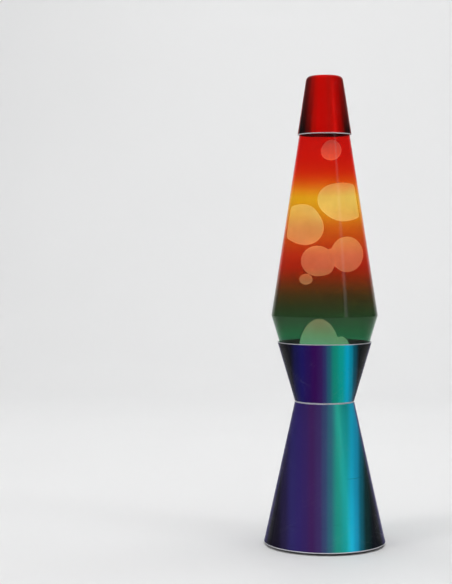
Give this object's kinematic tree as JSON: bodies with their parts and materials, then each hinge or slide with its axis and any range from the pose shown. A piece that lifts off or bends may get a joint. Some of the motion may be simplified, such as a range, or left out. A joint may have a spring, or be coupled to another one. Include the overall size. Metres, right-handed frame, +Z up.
{
  "type": "lava lamp",
  "caption": "Motion lamp with a narrow-waisted spun base, a tapered bottle of coloured liquid and drifting wax blobs, and a tapered cap.",
  "frame": {"origin": "on the floor at the lamp's axis, under the rubber feet", "axes": "+Z up along the lamp's axis, front towards -Y, the cord gland at the back towards +Y"},
  "size_m": [0.1038, 0.1039, 0.4],
  "materials": {
    "base_lacquer": "spun aluminium under a colour-shifting lacquer that runs from indigo and violet to teal, satin gloss",
    "cap_lacquer": "spun aluminium under a transparent red metallic lacquer, glossy",
    "felt": "pressed felt",
    "bright_steel": "zinc-plated steel, satin",
    "plate_paint": "black powder coat, fine texture",
    "rubber": "moulded rubber, matt",
    "brass": "pressed brass, slightly dull",
    "phenolic": "moulded phenolic, satin",
    "porcelain": "unglazed steatite",
    "bulb_glass": "blown glass, mirrored inside the reflector and frosted on the face",
    "bulb_cap": "nickel-plated brass, rolled",
    "bulb_insulator": "black vitrified glass",
    "solder": "soft solder, dull",
    "filament": "drawn tungsten",
    "bottle_glass": "clear flint glass with a faded colour lacquer, red above, amber at the shoulder",
    "crown_lacquer": "lacquered tinplate",
    "liner": "sealing compound",
    "liquid": "clear tinted liquid",
    "wax": "soft translucent wax, smooth and faintly glowing",
    "coil_steel": "drawn spring wire"
  },
  "bodies": {
    "base": {"foot_cone": "base_lacquer", "cup_cone": "base_lacquer", "waist_rivets": "bright_steel", "bottle_seat_ring": "bright_steel", "bottom_plate": "plate_paint", "rubber_feet": "rubber", "plate_screws": "bright_steel", "bracket_screws": "bright_steel", "holder_bracket": "bright_steel", "earth_screw": "brass", "holder_nipple": "bright_steel", "nipple_nut": "brass", "star_washer": "bright_steel", "holder_dome": "phenolic", "holder_skirt": "phenolic", "holder_insert": "porcelain", "terminal_screws": "brass", "holder_shell": "brass", "holder_contact": "brass", "cord_gland": "rubber"},
    "bottle": {"bottle_glass": "bottle_glass", "crown_cork": "crown_lacquer", "crown_liner": "liner", "wax_mound": "wax", "heating_coil": "coil_steel", "liquid": "liquid"},
    "cap": {"cap_shell": "cap_lacquer", "cap_pad": "felt"},
    "bulb_tip": {"bulb_tip_contact": "solder"},
    "bulb": {"bulb_glass": "bulb_glass", "bulb_screw_cap": "bulb_cap", "bulb_insulator": "bulb_insulator", "bulb_stem": "bulb_glass", "bulb_supports": "bright_steel", "bulb_filament": "filament"},
    "blob_top": {"wax_top": "wax"},
    "blob_right": {"wax_right": "wax"},
    "blob_left": {"wax_left": "wax"},
    "blob_pair": {"wax_pair": "wax"},
    "blob_tiny": {"wax_tiny": "wax"}
  },
  "joints": [
    {"name": "bottle_lift", "type": "slide", "parent": "base", "child": "bottle", "axis": [0, 0, 1], "range_m": [0, 0.06]},
    {"name": "cap_lift", "type": "slide", "parent": "bottle", "child": "cap", "axis": [0, 0, 1], "range_m": [0, 0.06]},
    {"name": "bulb_rise", "type": "slide", "parent": "base", "child": "bulb_tip", "axis": [0, 0, 1], "range_m": [0, 0.0085]},
    {"name": "bulb_unscrew", "type": "hinge", "parent": "bulb_tip", "child": "bulb", "pos_m": [0, 0, 0.1], "axis": [0, 0, 1], "range_deg": [0, 1080]},
    {"name": "blob_top_drift", "type": "slide", "parent": "bottle", "child": "blob_top", "axis": [0, 0, 1], "range_m": [-0.012, 0.006], "deforming": ["liquid"]},
    {"name": "blob_right_drift", "type": "slide", "parent": "bottle", "child": "blob_right", "axis": [-0.1424, 0.0569, 0.9882], "range_m": [-0.004, 0.01], "deforming": ["liquid"]},
    {"name": "blob_left_drift", "type": "slide", "parent": "bottle", "child": "blob_left", "axis": [0.1441, -0.0523, 0.9882], "range_m": [-0.0025, 0.004], "deforming": ["liquid"]},
    {"name": "blob_pair_drift", "type": "slide", "parent": "bottle", "child": "blob_pair", "axis": [0, 0, 1], "range_m": [-0.003, 0.0025], "deforming": ["liquid"]},
    {"name": "blob_tiny_drift", "type": "slide", "parent": "bottle", "child": "blob_tiny", "axis": [0, 0, 1], "range_m": [-0.025, 0.003], "deforming": ["liquid"]}
  ],
  "couplings": [
    {"joint": "bulb_rise", "follows": "bulb_unscrew", "m_per_rad": 0.00044913}
  ]
}
